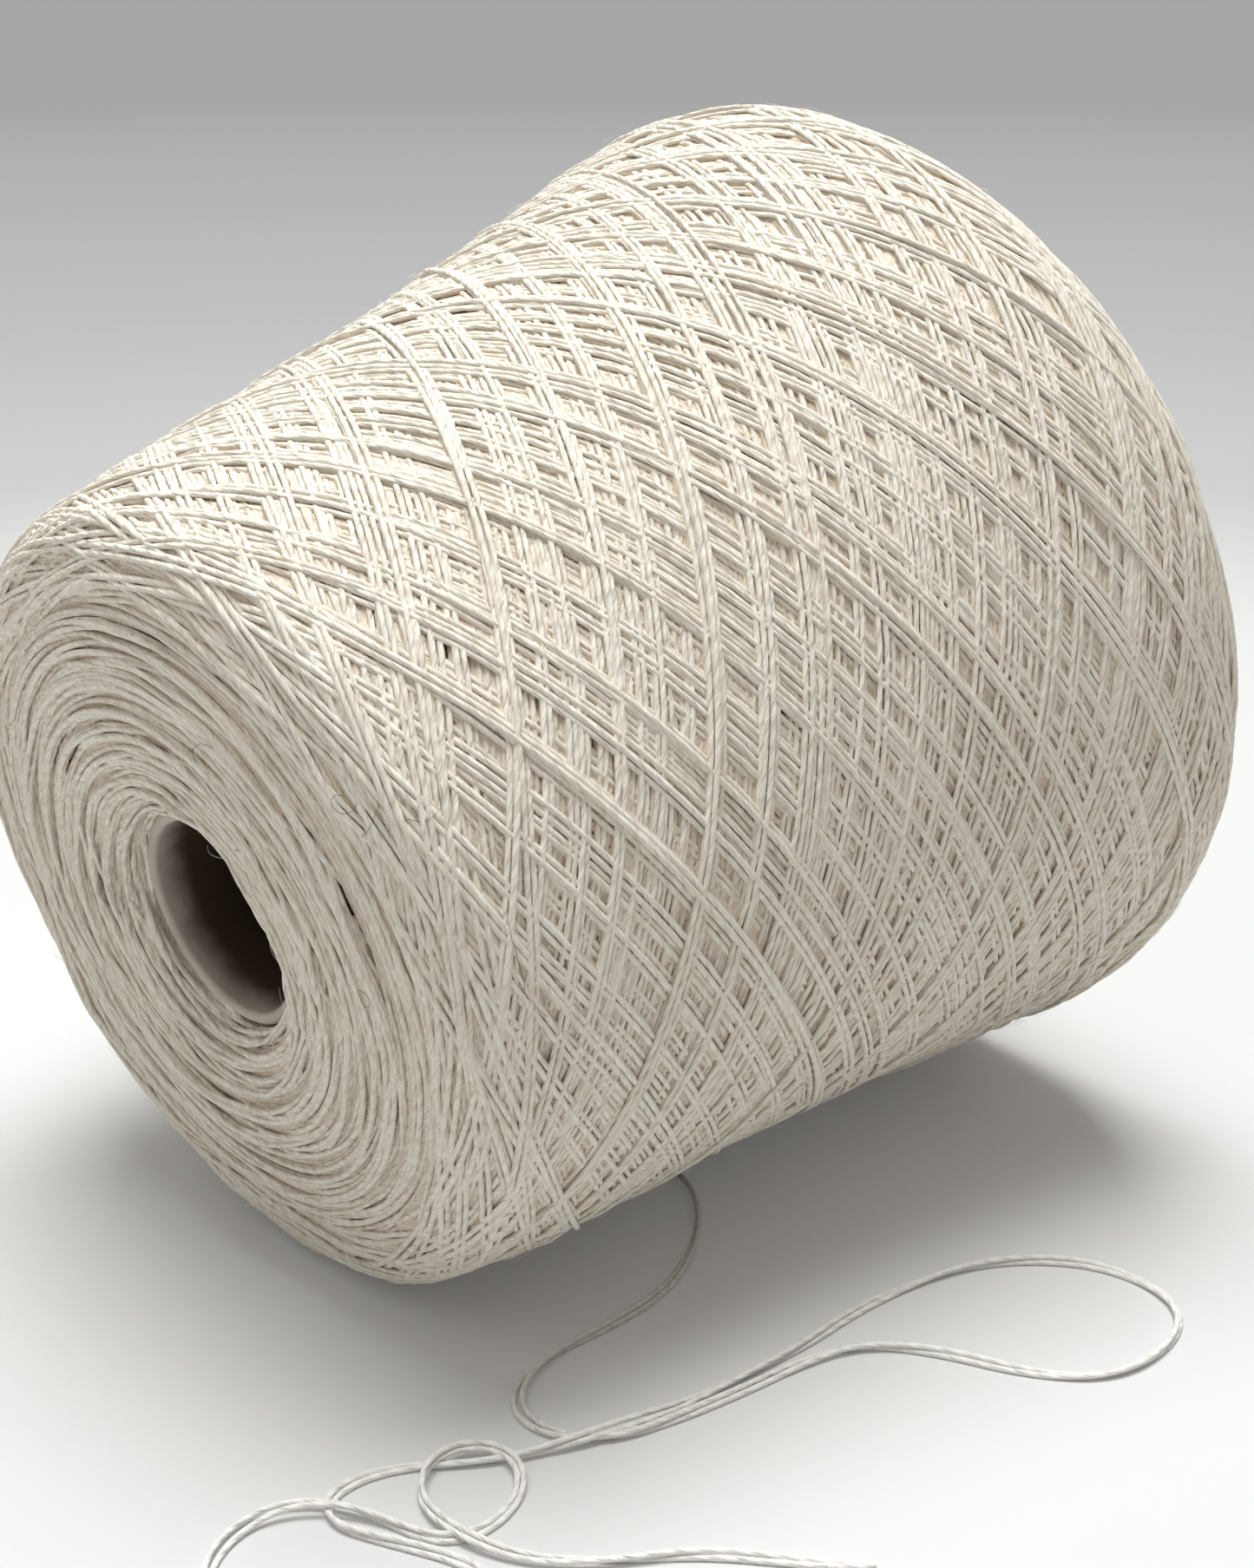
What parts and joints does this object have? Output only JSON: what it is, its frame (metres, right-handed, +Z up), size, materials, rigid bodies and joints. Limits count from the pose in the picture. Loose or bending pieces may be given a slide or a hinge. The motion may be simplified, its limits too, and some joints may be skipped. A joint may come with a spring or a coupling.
{
  "type": "thread cone",
  "caption": "Cone of cross-wound cream thread on a tapered paper tube, lying on its side with a loose tail on the floor.",
  "frame": {"origin": "centre of the package's footprint on the surface it lies on, without the loose tail", "axes": "+Z up; +X level, under the tube's axis, from the small end to the large end; +Y to the left of +X"},
  "size_m": [0.2189, 0.2128, 0.1816],
  "materials": {
    "thread": "matte undyed thread",
    "tube": "matte pressed paper"
  },
  "bodies": {
    "root": {"cone_tube": "tube", "thread_core": "thread", "cross_winding": "thread", "small_end_turns": "thread", "large_end_turns": "thread", "loose_tail": "thread"}
  },
  "joints": []
}
